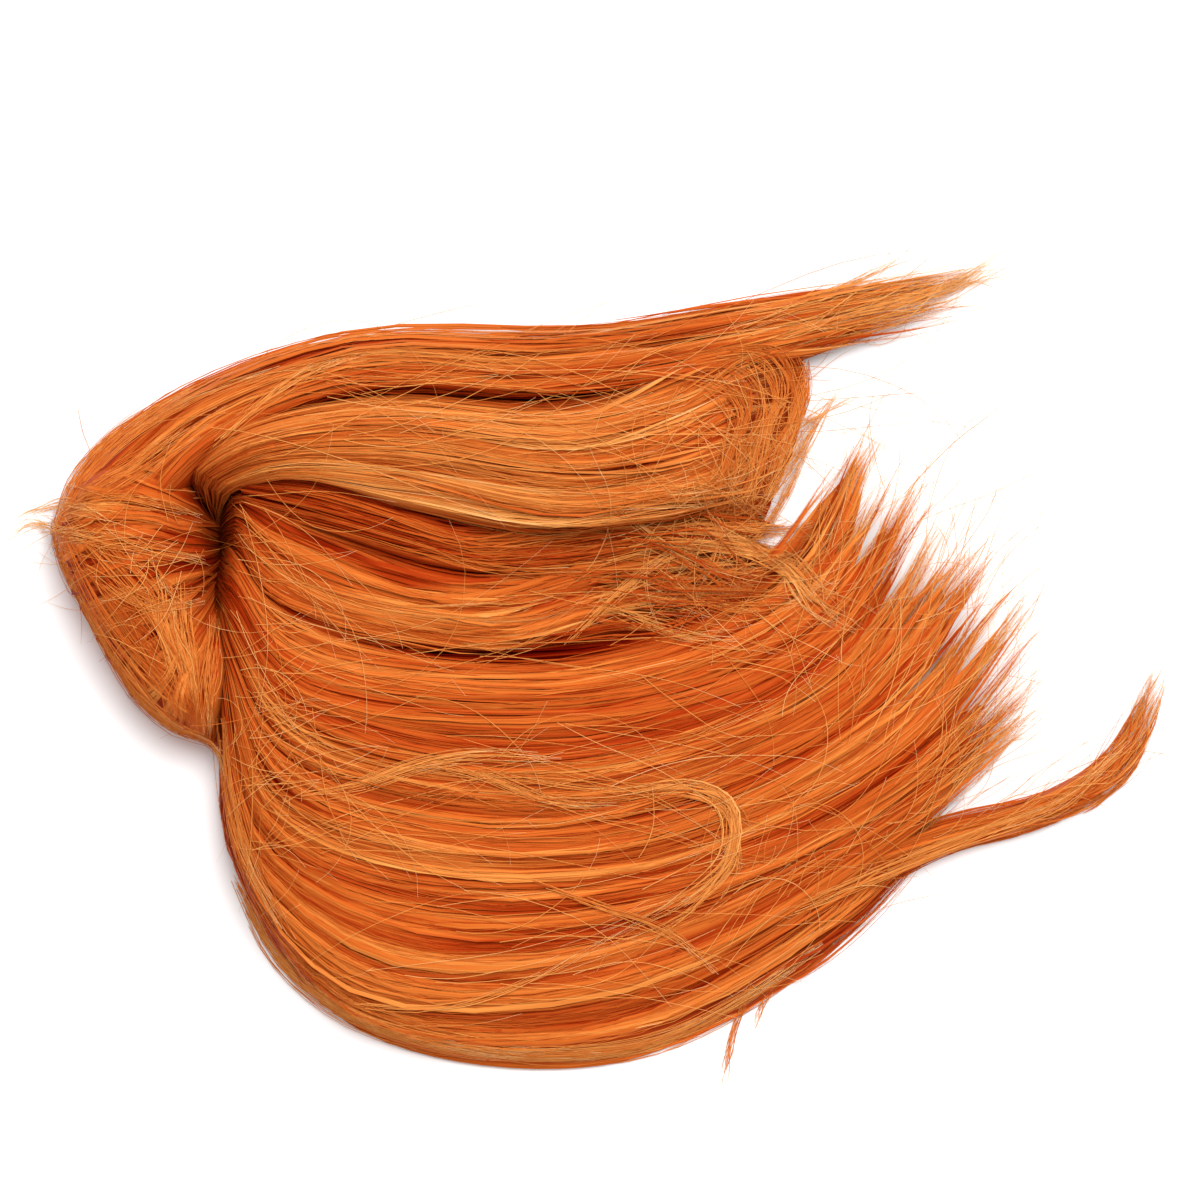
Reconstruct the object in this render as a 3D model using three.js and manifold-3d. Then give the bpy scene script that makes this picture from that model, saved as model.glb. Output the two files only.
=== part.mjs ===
// Messy bun hairpiece: combed synthetic hair on an oval elastic band, lying flat.
// Millimetres, +Z up. The origin is the middle of the band's opening, on the surface
// that the hair lies on. +X runs along the hair, from the band to the tips.
import * as THREE from 'three';
import { mergeVertices } from 'three/addons/utils/BufferGeometryUtils.js';
import Module from 'manifold-3d';

const wasm = await Module();
wasm.setup();

// Driving dimensions
const GAP = 0.3;
const ON_AXIS = 1e-6;
const MERGE_DISTANCE = 1e-4;
const BAND_THICKNESS = 4.5;
const BAND_WIDTH = 18;
const BAND_STRAIGHT = 20;
const BAND_HEIGHT = 13;
const BAND_SIDES = 8;
const BAND_STEPS = 18;
const OPENING_WIDTH = 7.5;
const OPENING_STRAIGHT = 20;
const OPENING_FLARE_WIDTH = 12;
const OPENING_BOTTOM = -1;
const OPENING_TOP = 40;
const OPENING_STEPS = 18;

// A lock is a strip with an arched top: its section and how it runs out
const ARCH_STEPS = 5;
const ARCH_ROUND = 0.42;
const LOCK_OVERLAP = 1.4;
const TAPER_START = 0.78;
const RAGGED_REACH = 0.09;
const RAGGED_PLACE = 0.3;
const GOLDEN_RATIO = 0.618034;

const HAIR_ORANGE = 0xce662b;
const HAIR_GOLD = 0xd97a38;
const HAIR_RED = 0xc25a22;
const BAND_BROWN = 0x3a1d10;
const HAIR_ROUGHNESS = 0.42;
const BAND_ROUGHNESS = 0.85;

// Each tress is a table of guide rows across it, from one edge to the other.
// A row gives the plan of one guide, x and y at each station from root to tip, and
// its loft, the share of the tress's rise there. rise is the height at even steps from
// root to tip, base the underside where the tress lies on others, steps the stretches
// that a lock is made in, and tip_width the share of its width that is left at its end.
const guide = (root, shoulder, belly, waist, sweep, tip, loft) => {
  return { path: [root, shoulder, belly, waist, sweep, tip], loft };
};
const wrap = (root, tip, loft) => ({ path: [root, tip], loft });

const TRESSES = [
  {
    name: 'cuff_roll',
    colour: HAIR_ORANGE,
    locks: 6,
    steps: 7,
    rise: [17, 27, 31, 29, 22, 7],
    tip_width: 0.8,
    guides: [
      //   root        tip         loft
      wrap([-1, -33],  [-5, -33],  0.6),
      wrap([0, -23],   [-14, -24], 0.85),
      wrap([0, -14],   [-23, -15], 0.95),
      wrap([-1, -6],   [-27, -7],  1),
      wrap([-2, 1],    [-31, 1],   1),
      wrap([-3, 8],    [-35, 9],   1),
      wrap([-4, 14],   [-30, 17],  0.95),
      wrap([-4, 20],   [-23, 26],  0.75),
    ],
  },
  {
    name: 'arc_lock',
    colour: HAIR_GOLD,
    locks: 1,
    steps: 10,
    rise: [16, 17, 16.5, 15.5, 14, 10],
    base: [11, 12, 11.5, 10.5, 9.5, 8],
    tip_width: 0.3,
    guides: [
      //    root        shoulder    belly       waist       sweep       tip         loft
      guide([83, 8],    [93, 9],    [104, 8],   [114, 4],   [122, -3],  [129, -12], 1),
      guide([83, 3],    [93, 4],    [102, 3],   [110, -1],  [118, -7],  [127, -14], 1),
    ],
  },
  {
    name: 'loop_lock',
    colour: HAIR_GOLD,
    locks: 1,
    steps: 12,
    rise: [19, 20, 20, 20, 19, 17],
    base: [14, 15, 15, 15, 14, 13.5],
    tip_width: 0.35,
    guides: [
      //    root        shoulder    belly       waist       sweep       tip         loft
      guide([73, -44],  [91, -41],  [102, -46], [103, -57], [93, -67],  [76, -75],  1),
      guide([73, -48],  [89, -46],  [96, -49],  [97, -55],  [89, -63],  [75, -72],  1),
    ],
  },
  {
    name: 'wave_tress',
    colour: HAIR_GOLD,
    locks: 7,
    steps: 10,
    rise: [24, 33, 30, 25, 20, 7],
    tip_width: 0.45,
    guides: [
      //    root        shoulder    belly       waist       sweep       tip         loft
      guide([-7, 19],   [2, 30],    [31, 37],   [67, 35],   [95, 41],   [132, 46],  0.85),
      guide([-6, 18],   [6, 27],    [33, 31],   [69, 27],   [97, 33],   [121, 39],  1),
      guide([-4, 17],   [9, 23],    [35, 25],   [71, 19],   [98, 23],   [118, 30],  1),
      guide([-1, 17],   [13, 21],   [37, 16],   [67, 11],   [95, 15],   [113, 20],  0.95),
      guide([2, 17],    [16, 19],   [37, 9],    [64, 4],    [91, 10],   [110, 12],  0.8),
    ],
  },
  {
    name: 'crest_tress',
    colour: HAIR_ORANGE,
    locks: 3,
    steps: 10,
    rise: [12, 23, 26, 22, 16, 3],
    tip_width: 0.2,
    guides: [
      //    root        shoulder    belly       waist       sweep       tip         loft
      guide([-28, 19],  [-13, 33],  [23, 46],   [67, 47],   [109, 54],  [152, 61],  0.7),
      guide([-9, 18],   [0, 28],    [29, 36],   [67, 34],   [103, 43],  [144, 53],  1),
    ],
  },
  {
    name: 'swoop_tress',
    colour: HAIR_RED,
    locks: 4,
    steps: 9,
    rise: [22, 24, 17, 12, 11, 7],
    tip_width: 0.7,
    guides: [
      //    root        shoulder    belly       waist       sweep       tip         loft
      guide([2, 18],    [17, 19],   [39, 10],   [64, 5],    [91, 11],   [113, 13],  0.9),
      guide([3, 7],     [11, -7],   [31, -16],  [54, -19],  [82, -17],  [113, -3],  0.95),
    ],
  },
  {
    name: 'tail_lock',
    colour: HAIR_ORANGE,
    locks: 2,
    steps: 9,
    rise: [9, 9, 8, 7, 5.5, 2],
    tip_width: 0.25,
    guides: [
      //    root        shoulder    belly       waist       sweep       tip         loft
      guide([105, -64], [127, -55], [142, -50], [159, -45], [174, -37], [187, -21], 1),
      guide([107, -72], [127, -64], [142, -57], [160, -51], [177, -42], [188, -22], 0.9),
    ],
  },
  {
    name: 'middle_fan',
    colour: HAIR_ORANGE,
    locks: 6,
    steps: 10,
    rise: [22, 26, 20, 17, 12, 3],
    tip_width: 0.3,
    guides: [
      //    root        shoulder    belly       waist       sweep       tip         loft
      guide([3, 9],     [11, -5],   [34, -15],  [74, -17],  [111, -3],  [128, 28],  0.9),
      guide([3, -2],    [13, -18],  [39, -26],  [79, -26],  [117, -11], [139, 23],  1),
      guide([2, -9],    [13, -27],  [41, -36],  [83, -35],  [123, -18], [145, 17],  1),
      guide([1, -15],   [12, -36],  [41, -46],  [85, -45],  [128, -26], [150, 3],   1),
    ],
  },
  {
    name: 'lower_fan',
    colour: HAIR_RED,
    locks: 7,
    steps: 11,
    rise: [21, 26, 21, 17, 12, 3],
    tip_width: 0.3,
    guides: [
      //    root        shoulder    belly       waist       sweep       tip         loft
      guide([1, -15],   [12, -36],  [41, -46],  [85, -45],  [128, -26], [150, 3],   1),
      guide([1, -21],   [10, -45],  [40, -57],  [87, -55],  [133, -34], [160, -6],  1),
      guide([0, -26],   [8, -53],   [37, -70],  [87, -67],  [136, -43], [162, -17], 0.95),
      guide([0, -31],   [5, -59],   [29, -83],  [83, -82],  [131, -55], [153, -34], 0.75),
      guide([-1, -35],  [2, -55],   [25, -89],  [75, -97],  [115, -79], [142, -55], 0.4),
    ],
  },
];

// A height read along a list of values at even steps
function alongSteps(values) {
  const curve = new THREE.SplineCurve(values.map((value, i) => new THREE.Vector2(i, value)));
  return (t) => curve.getPoint(t).y;
}

// The surface that a tress's guides span: u runs across the rows, t along them
function tressSurface({ rise, base = [0, 0], guides }) {
  const curves = guides.map((row) => {
    return new THREE.CatmullRomCurve3(row.path.map(([x, y]) => new THREE.Vector3(x, y, 0)));
  });
  const crest = alongSteps(rise);
  const under = alongSteps(base);
  const between = (u) => {
    const place = THREE.MathUtils.clamp(u, 0, 1) * (guides.length - 1);
    const row = Math.min(Math.floor(place), guides.length - 2);
    return [row, place - row];
  };
  return {
    plan(u, t) {
      const [row, share] = between(u);
      return curves[row].getPoint(t).lerp(curves[row + 1].getPoint(t), share);
    },
    top(u, t) {
      const [row, share] = between(u);
      return crest(t) * THREE.MathUtils.lerp(guides[row].loft, guides[row + 1].loft, share);
    },
    bottom: (t) => under(t),
  };
}

// A closed body through rings of points, each ring a flat outline
function solidThroughRings(rings) {
  const count = rings[0].length;
  const index = [];
  for (let i = 0; i + 1 < rings.length; i += 1) {
    for (let j = 0; j < count; j += 1) {
      const a = i * count + j;
      const b = i * count + (j + 1) % count;
      index.push(a, b, b + count, a, b + count, a + count);
    }
  }
  const last = (rings.length - 1) * count;
  for (let j = 1; j + 1 < count; j += 1) {
    index.push(0, j + 1, j, last, last + j, last + j + 1);
  }
  const geometry = new THREE.BufferGeometry().setFromPoints(rings.flat());
  geometry.setIndex(index);
  return geometry;
}

// One lock of a tress: an arched strip about u, which tapers to its tip
function lockGeometry(tress, surface, number, grow) {
  const uneven = (number * GOLDEN_RATIO) % 1;
  const u = (number + 0.5 + RAGGED_PLACE * (uneven - 0.5)) / tress.locks;
  const half = (0.5 * LOCK_OVERLAP) / tress.locks;
  const reach = 1 - RAGGED_REACH * uneven;
  const rings = [];
  for (let i = 0; i <= tress.steps; i += 1) {
    const along = i / tress.steps;
    const t = along * reach;
    const run_out = THREE.MathUtils.smoothstep(along, TAPER_START, 1);
    const width = half * THREE.MathUtils.lerp(1, tress.tip_width, run_out);
    const left = surface.plan(u - width, t);
    const right = surface.plan(u + width, t);
    const across = right.clone().sub(left).normalize().multiplyScalar(grow);
    left.sub(across);
    right.add(across);
    const under = surface.bottom(t) - grow;
    const height = surface.top(u, t) + grow - under;
    const ring = [];
    for (let j = 0; j <= ARCH_STEPS; j += 1) {
      const turn = (Math.PI * j) / ARCH_STEPS;
      const point = left.clone().lerp(right, (1 - Math.cos(turn)) / 2);
      point.z = under + height * Math.max(0, Math.sin(turn)) ** ARCH_ROUND;
      ring.push(point);
    }
    rings.push(ring);
  }
  return solidThroughRings(rings);
}

// Joining and cutting
function toSolid(geometry) {
  const bare = geometry.clone();
  bare.deleteAttribute('normal');
  bare.deleteAttribute('uv');
  const merged = mergeVertices(bare, MERGE_DISTANCE);
  const vertProperties = new Float32Array(merged.attributes.position.array);
  const triVerts = new Uint32Array(merged.index.array);
  return new wasm.Manifold(new wasm.Mesh({ numProp: 3, vertProperties, triVerts }));
}

function toGeometry(solid) {
  const { vertProperties, triVerts } = solid.getMesh();
  const geometry = new THREE.BufferGeometry();
  geometry.setAttribute('position', new THREE.BufferAttribute(vertProperties, 3));
  geometry.setIndex(new THREE.BufferAttribute(triVerts, 1));
  return geometry;
}

const largestBody = (solid) => solid.decompose().reduce((a, b) => (a.volume() >= b.volume() ? a : b));

function tressSolid(tress, grow = 0) {
  const surface = tressSurface(tress);
  const locks = Array.from({ length: tress.locks }, (_, number) => number);
  return locks
    .map((number) => toSolid(lockGeometry(tress, surface, number, grow)))
    .reduce((whole, lock) => whole.add(lock));
}

// A round form pulled out along Y into one with straight sides
function stretched(geometry, straight) {
  const position = geometry.attributes.position;
  for (let i = 0; i < position.count; i += 1) {
    const y = position.getY(i);
    if (Math.abs(y) > ON_AXIS) {
      position.setY(i, y + (Math.sign(y) * straight) / 2);
    }
  }
  return geometry;
}

// The elastic: a ring with two straight sides, no vertex of it on the X axis
function bandGeometry(grow = 0) {
  const tube = BAND_THICKNESS / 2 + grow;
  const ring = new THREE.TorusGeometry(BAND_WIDTH / 2, tube, BAND_SIDES, BAND_STEPS);
  ring.rotateZ(Math.PI / BAND_STEPS);
  return stretched(ring, BAND_STRAIGHT).translate(0, 0, BAND_HEIGHT);
}

// The opening: an oval funnel from below the hair to above it
function openingGeometry() {
  const profile = [
    new THREE.Vector2(0, OPENING_BOTTOM),
    new THREE.Vector2(OPENING_WIDTH / 2, OPENING_BOTTOM),
    new THREE.Vector2(OPENING_WIDTH / 2, BAND_HEIGHT),
    new THREE.Vector2(OPENING_FLARE_WIDTH / 2, OPENING_TOP),
    new THREE.Vector2(0, OPENING_TOP),
  ];
  const funnel = new THREE.LatheGeometry(profile, OPENING_STEPS).rotateX(Math.PI / 2);
  funnel.rotateZ(Math.PI / OPENING_STEPS);
  return stretched(funnel, OPENING_STRAIGHT);
}

function hairMaterial(colour) {
  return new THREE.MeshStandardMaterial({ color: colour, roughness: HAIR_ROUGHNESS, metalness: 0 });
}

const hairpiece = new THREE.Group();

const band_material = new THREE.MeshStandardMaterial({
  color: BAND_BROWN,
  roughness: BAND_ROUGHNESS,
  metalness: 0,
});
const elastic_band = new THREE.Mesh(bandGeometry(), band_material);
elastic_band.name = 'elastic_band';
hairpiece.add(elastic_band);

// Tresses further down the table give way to those above them, and all to the band
let taken = toSolid(bandGeometry(GAP)).add(toSolid(openingGeometry()));
for (const tress of TRESSES) {
  const body = largestBody(tressSolid(tress).subtract(taken));
  const mesh = new THREE.Mesh(toGeometry(body), hairMaterial(tress.colour));
  mesh.name = tress.name;
  hairpiece.add(mesh);
  taken = taken.add(tressSolid(tress, GAP));
}

export default hairpiece;
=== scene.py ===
# Messy bun hairpiece: wisps, strands, flyaway hairs, elastic, floor, light and camera.
# Tables are in millimetres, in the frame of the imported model; Blender works in metres.
import math
from types import SimpleNamespace as Row

import bpy
import numpy as np
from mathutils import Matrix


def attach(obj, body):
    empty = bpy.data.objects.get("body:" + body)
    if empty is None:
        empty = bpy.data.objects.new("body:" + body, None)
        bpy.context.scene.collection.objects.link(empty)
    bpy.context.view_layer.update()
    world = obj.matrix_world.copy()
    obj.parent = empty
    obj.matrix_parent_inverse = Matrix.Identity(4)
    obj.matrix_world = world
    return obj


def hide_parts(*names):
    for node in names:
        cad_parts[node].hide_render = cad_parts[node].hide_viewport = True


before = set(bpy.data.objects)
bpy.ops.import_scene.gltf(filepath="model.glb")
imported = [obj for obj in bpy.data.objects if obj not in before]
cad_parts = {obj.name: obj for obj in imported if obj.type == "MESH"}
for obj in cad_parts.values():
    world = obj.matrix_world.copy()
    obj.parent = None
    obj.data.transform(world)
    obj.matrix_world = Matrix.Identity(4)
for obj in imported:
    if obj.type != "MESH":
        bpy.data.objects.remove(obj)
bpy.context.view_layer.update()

MM = 0.001
# Each piece's random draws, from rng, start from a seed of their own
SEED = 20

# The photo's square frame, on the surface that the hair lies on
FRAME_SIDE = 240.0
FRAME_CENTRE = (75.2, -5.0)
CAMERA_HEIGHT = 2400.0
SENSOR = 36.0

# How locks share a tress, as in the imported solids
LOCK_OVERLAP = 1.4
TAPER_START = 0.84
RAGGED_REACH = 0.09
RAGGED_PLACE = 0.3
GOLDEN_RATIO = 0.618034
SURFACE_SAMPLES = 90
PAST_EDGE = 0.6
STEEPEST_EDGE = 0.97
FLOOR_CLEARANCE = 0.15

# How the wisps of a lock lie: shares of its half width or height, or millimetres
WISP_SPREAD = (0.03, 0.13)
WISP_POINTS = 20
WISP_PROFILE = [(-1, 0), (0, 0.9), (1, 0), (0, -0.5)]
WISP_SLOPE = 0.2
WISP_THICKNESS = (0.04, 0.13)
WISP_TAPER_START = 0.86
WISP_END = 0.25
TIP_START = (0.58, 0.76)
TIP_SPREAD = 1.9
WISP_DEPTH = 0.025
SHORTEST = 0.25
WISP_WIDEST = 0.7
LAID_WIDEST = 0.28
LAID_TAPER_START = 0.6
LAID_ENDS = (0.3, 0.4)
LAID_END = 0.12
LAID_END_LIFT = 0.15
LAID_ARCH = 0.7
OPEN_END = (0.1, 0.3)
SPLAY_FROM = 0.5
SPLAY_POWER = 1.5
DROOP_FROM = 0.6
# Each wander: its size, in millimetres or radians, and its cycles along a hair
LOCK_WANDER = (1.1, 1.0)
WISP_WANDER = (0.8, 1.7)
WANDER_START = 0.2
OVERTONE = (1.9, 0.5)
LOCK_TONE = 0.05
WISP_TONE = 0.045
LATE_STEPS = 1.2

# Soft ridges over a flow and grooves between its locks, with painted light and shade
RIDGE_WAVES = 7
RIDGE_ACROSS = (0.6, 2.4)
RIDGE_ALONG = 0.9
RIDGE_HEIGHT = 0.5
# Painted light and shade: how much the tint rises on ridges and falls between them
RIDGE_PAINTED_SHADING = 0.09
GROOVES_PER_LOCK = 4
GROOVE_LENGTH = (0.08, 0.26)
GROOVE_WIDTH = (0.05, 0.14)
GROOVE_ACROSS = (0.04, 0.96)
GROOVE_ALONG = (0.15, 0.85)
GROOVE_SHARE = (0.3, 1)
GROOVE_SLOPE = 0.05
GROOVE_DEPTH = 1.6
# Painted shade: how much the tint falls in a groove
GROOVE_PAINTED_SHADE = 0.36
RELIEF_FADE = (2, 12)

# Single strands: three-sided tubes over the wisps
STRAND_POINTS = 15
STRAND_PROFILE = [(0, 0.5), (-0.9, -0.25), (0.9, -0.25)]
STRAND_RADIUS = (0.045, 0.08)
TIP_RADIUS_SHARE = 0.35
THIN_FROM = 0.5
STRAND_ASIDE = 1.6
STRAND_REACH = 1.03
STRAND_FRAY = 0.3
STRAND_LIFT = (0.05, 0.2)
STRAND_TONE = (-0.02, 0.05)
STRAND_WANDER = (0.16, 2.0)
STRAND_START = 0.3
LOOSE_SHARE = 0.1
LOOSE_WANDER = (2.2, 0.6)
LOOSE_LIFT = (0.3, 0.7)
LOOSE_TONE = 0.04

# Roots dive into the band's opening around this point, less deep at its lower side
HOLE = (-0.4, 4.0)
HOLE_HALF_LENGTH = 9.0
ROOT_SHIFT = 1.2
ROOT_SKEW = 0.3
ROOT_POINTS = 2
ROOT_PASSES = 2
EARLY_START = 0.3
EARLY_POINTS = (0.6, 0.3)
# Roots outside the opening start their along here, past the painted root shade
OPEN_ROOT = 0.2
SHALLOW_SIDE = (8, -6)
# Shares of a root's place that it keeps: across the opening, along it and past its ends
ROOT_KEPT = (0.12, 0.6, 0.45)
# Shares of its height that it keeps, and more at the shallow side
DEEP_HEIGHT = (0.4, 0.4)
HALF_HEIGHT = (0.8, 0.13)
HALF_WAY = 0.45

# The smooth body that fills a flow under its wisps
BODY_STEPS = 44
BODY_ACROSS = 72
BODY_SIDES = (-0.02, 1.02)
BODY_START = 0.01
BODY_NOTCH = (0.1, 0.7)
BODY_SHARE = 0.97
BODY_SINK = 0.25
BODY_FADE_SHARE = 0.8
# The body's tint is this much darker: painted shade under the wisps
BODY_PAINTED_SHADE = -0.06
BODY_RAGGED = 0.004
# Bodies, and flows without painted tip light, end their along here, before the painted tip light starts
BODY_ALONG = 0.82


def row(loft, *path):
    """One guide row of a flow: its share of the rise and its plan from root to tip."""
    return Row(loft=loft, path=path)


def valley(u, t, length, width, depth):
    """A groove darkened by painted shade: its middle on a flow, half its length and width, and its depth.
    """
    return Row(u=u, t=t, length=length, width=width, slope=0, depth=depth)


def flow(*guides, **look):
    """A layer of hair. Its guide rows run edge to edge, and rise is its height from root
    to tip, or lies the range of its height over the hair below. tone, from root to tip,
    runs from dark 0 to gold 1; with the hair's own colour it holds painted highlight bands
    where the sheen falls. tips counts the short wisps that fill the tips, edges says
    over which shares of the width its sides round down, tuck whether roots dive into the
    band, late how far along they may start, fray how far back the tips may end, point how
    much a wisp narrows to its tip and tip_width to what a lock does, stop where wisps end
    at most, and body how far the smooth body below them reaches, with notch how much less
    between the locks. splay and droop turn tips aside and down, spread is the width of
    wisps, wander scales their waves, pale_tips whether tips get painted light for
    light through thin hair, and valleys are known grooves, darkened with painted shade."""
    plain = dict(
        rise=(0, 0), lies=None, tip_width=0.3, edges=(0.1, 0.1), tuck="lies" not in look, tips=0,
        body=0 if "lies" in look else 0.9, late=0, fray=0.14, point=0.9, splay=1.0, droop=0.6,
        spread=WISP_SPREAD, stop=1, notch=0.1, valleys=(), pale_tips=True, wander=1,
    )
    return Row(guides=guides, **{**plain, **look})


CUFF = flow(
    row(0.86, (1, -9), (2, -18), (1, -27), (-1.5, -33.5), (-2, -34)),
    row(0.88, (-1, -7), (-4, -16), (-8, -25), (-10, -30), (-10.2, -30.5)),
    row(0.9, (-2, -5), (-7, -12), (-13, -19), (-17, -24), (-17.3, -24.4)),
    row(0.95, (-3, -2), (-9, -7), (-17, -12), (-22, -16), (-22.4, -16.3)),
    row(1, (-3, 1), (-11, -2), (-21, -5), (-27, -7), (-27.5, -7.1)),
    row(1, (-3, 5), (-12, 4), (-24, 3), (-31, 2), (-31.5, 2)),
    row(1, (-4, 9), (-13, 10), (-25, 10), (-33, 9), (-33.5, 9)),
    row(0.92, (-4, 12), (-12, 15), (-21, 17), (-28, 18), (-28.4, 18.2)),
    row(0.8, (-4, 18), (-8, 21.5), (-13, 24), (-18, 26), (-18.3, 26.2)),
    rise=[19, 25, 29, 31, 30, 26, 17, 7, 0.5], locks=6, wisps=12, strands=240,
    tone=[0.34, 0.5, 0.56, 0.52, 0.46], tip_width=1, edges=(0.06, 0.1),
    fray=0.3, splay=1.2, droop=0, body=1, stop=0.97, pale_tips=False,
)
CUFF_SWEEP = flow(
    row(1, (-32.5, 8), (-28.5, -4.5), (-22, -17), (-12, -28), (-2, -33.5)),
    row(1, (-31, 11), (-25, 2), (-16, -9), (-8, -20), (-3, -33)),
    row(1, (-29, 13), (-21, 8), (-12, 0), (-6, -12), (-2, -31)),
    lies=(0.05, 0.4), locks=5, wisps=16, strands=130, tone=[0.54, 0.56],
    late=0.5, fray=0.4, splay=1.2, tip_width=0.8, spread=(0.015, 0.045), pale_tips=False, wander=0.35,
)
CUFF_LOCK = flow(
    row(1, (-13, 1), (-11.5, -7), (-9, -17), (-5.5, -30)),
    row(1, (-6, 0), (-5.5, -8), (-4.5, -18), (-3, -31)),
    lies=(0.05, 0.4), locks=1, wisps=50, strands=60, tone=[0.6, 0.66, 0.62],
    late=0.5, fray=0.45, splay=0.6, tip_width=0.6, spread=(0.02, 0.06), pale_tips=False, wander=0.3,
)
ARC = flow(
    row(1, (76, 6), (90, 7.8), (104, 6.8), (112.5, 3.6), (120, -3), (129.5, -11.5)),
    row(1, (76, 3), (90, 5.4), (103, 4.4), (111, 1.4), (117.5, -4.6), (127, -13)),
    lies=(0.2, 1.1), locks=1, wisps=34, strands=60, tone=[0.62, 0.74, 0.6],
    late=0.4, fray=0.45, splay=1.4,
)
LOOP = flow(
    row(1, (50, -39), (76, -43), (92, -42), (101, -46), (102, -57), (93, -67), (66, -77)),
    row(1, (50, -41), (76, -45), (91, -44), (99, -47.5), (99.8, -56), (91, -65.5), (66, -74.5)),
    lies=(0.2, 1.0), locks=1, wisps=22, strands=60, tone=[0.54, 0.62, 0.54],
    late=0.5, fray=0.45, splay=2.0,
)
WAVE = flow(
    row(0.6, (-9, 20), (1, 30), (31, 37.5), (67, 36), (92, 42), (108, 46), (121, 47)),
    row(1, (-7, 19), (6, 27), (33, 31), (69, 27.5), (90, 33), (105, 40), (118, 43)),
    row(1, (-4, 18), (9, 24), (35, 25), (71, 19.5), (91, 23), (105, 30), (119, 37)),
    row(0.95, (-1, 17), (13, 21), (37, 18), (67, 13), (90, 16), (104, 20), (116, 26)),
    row(0.8, (2, 17), (16, 18), (37, 12), (62, 8), (86, 12), (100, 12.5), (110, 11)),
    rise=[24, 33, 31, 26, 22, 16, 8], locks=7, wisps=30, strands=560,
    tone=[0.4, 0.6, 0.68, 0.6, 0.48, 0.3], tip_width=0.8, edges=(0.12, 0.1),
    splay=1.6, fray=0.3, body=0.97, notch=0,
    valleys=[valley(0.02, 0.42, 0.26, 0.05, 1.2)],
)
WAVE_FRINGE = flow(
    row(1, (101, 45.5), (112, 44.5), (115.5, 37), (112, 26), (107, 14), (104, 7)),
    row(1, (95, 42.5), (105, 41.5), (109, 34.5), (106, 25), (101, 13), (98, 5)),
    row(1, (88, 38), (97, 37), (102, 31), (99.5, 23), (95, 14), (90, 7)),
    lies=(0.1, 0.7), locks=5, wisps=22, strands=120, tone=[0.52, 0.56],
    late=0.45, fray=0.5, splay=2.2, tip_width=0.7, spread=(0.012, 0.04), pale_tips=False,
)
CREST = flow(
    row(0.6, (-34, 9), (-27.5, 20), (-12, 33.5), (23, 46), (67, 47.5), (109, 54), (153, 61)),
    row(1, (-18, 4), (-8, 14), (4, 26), (29, 35.5), (62, 35), (103, 42), (147, 53)),
    rise=[20, 28, 28, 27, 23, 16, 3], locks=3, wisps=34, tips=34, strands=380,
    tone=[0.36, 0.42, 0.5, 0.56, 0.5, 0.54], tip_width=0.34, tuck=False, late=0.2,
    edges=(0.16, 0.26), splay=1.2, fray=0.16, body=0.93, notch=0.05,
    valleys=[valley(0.96, 0.52, 0.22, 0.1, 1.1)],
)
SWOOP_LAYER = flow(
    row(1, (1, 19.5), (20, 19), (38, 14), (52, 10), (70, 11), (90, 14), (110, 15)),
    row(0.95, (3, 17), (21, 13), (38, 8), (52, 4), (70, 6), (90, 9), (112, 11)),
    row(0.85, (4, 13), (21, 8), (40, 2), (55, 0), (70, 2), (88, 5), (112, 8)),
    rise=[24, 27, 22, 17, 14, 12, 4], locks=4, wisps=24, tips=12, strands=240,
    tone=[0.34, 0.44, 0.5, 0.5, 0.44], tuck=False, late=0.1, tip_width=0.7,
    fray=0.3, splay=2.5, body=0.97, notch=0,
    valleys=[valley(0.04, 0.45, 0.32, 0.1, 1.1)],
)
SWOOP_SHEET = flow(
    row(0.95, (2, 18), (11, 15), (26, 9), (42, 3), (57, 1), (75, 4), (109, 9)),
    row(1, (3, 12), (10, 4), (25, -4), (41, -8), (58, -9), (76, -4), (114, 3.5)),
    row(0.9, (3, 4), (9, -8), (22, -13), (37, -15), (56, -16), (76, -12.5), (116, -5)),
    rise=[22, 24, 20, 16, 13, 11, 4], locks=3, wisps=30, tips=12, strands=280,
    tone=[0.4, 0.56, 0.64, 0.54, 0.44], tip_width=0.8, late=0.02,
    fray=0.35, splay=2.5, body=0.98, notch=0,
    valleys=[valley(0.05, 0.5, 0.28, 0.08, 1.2), valley(1, 0.52, 0.24, 0.06, 1.2)],
)
TANGLE = flow(
    row(1, (70, 9), (84, 11), (98, 10), (112, 3)),
    row(1, (66, -2), (82, 1), (98, -3), (116, -9)),
    row(1, (62, -14), (78, -12), (96, -8), (112, 4)),
    lies=(0.2, 2.0), locks=4, wisps=12, strands=200, tone=[0.4, 0.48],
    late=0.6, fray=0.5, splay=4, tip_width=1, spread=(0.005, 0.012), pale_tips=False,
)
TAIL = flow(
    row(1, (105, -64), (127, -55), (144, -49.5), (160, -45), (172, -39), (181, -31), (187, -20.5)),
    row(0.9, (107, -72), (127, -64), (144, -56), (160, -51), (173, -44), (182.5, -34), (188, -22)),
    rise=[9, 9, 8, 7, 5.5, 4, 2], locks=2, wisps=28, tips=12, strands=200, tone=[0.48, 0.58, 0.54],
    tuck=False, late=0.25, tip_width=0.3, edges=(0.2, 0.2), splay=0.8, fray=0.3, body=0.8,
)
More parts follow.
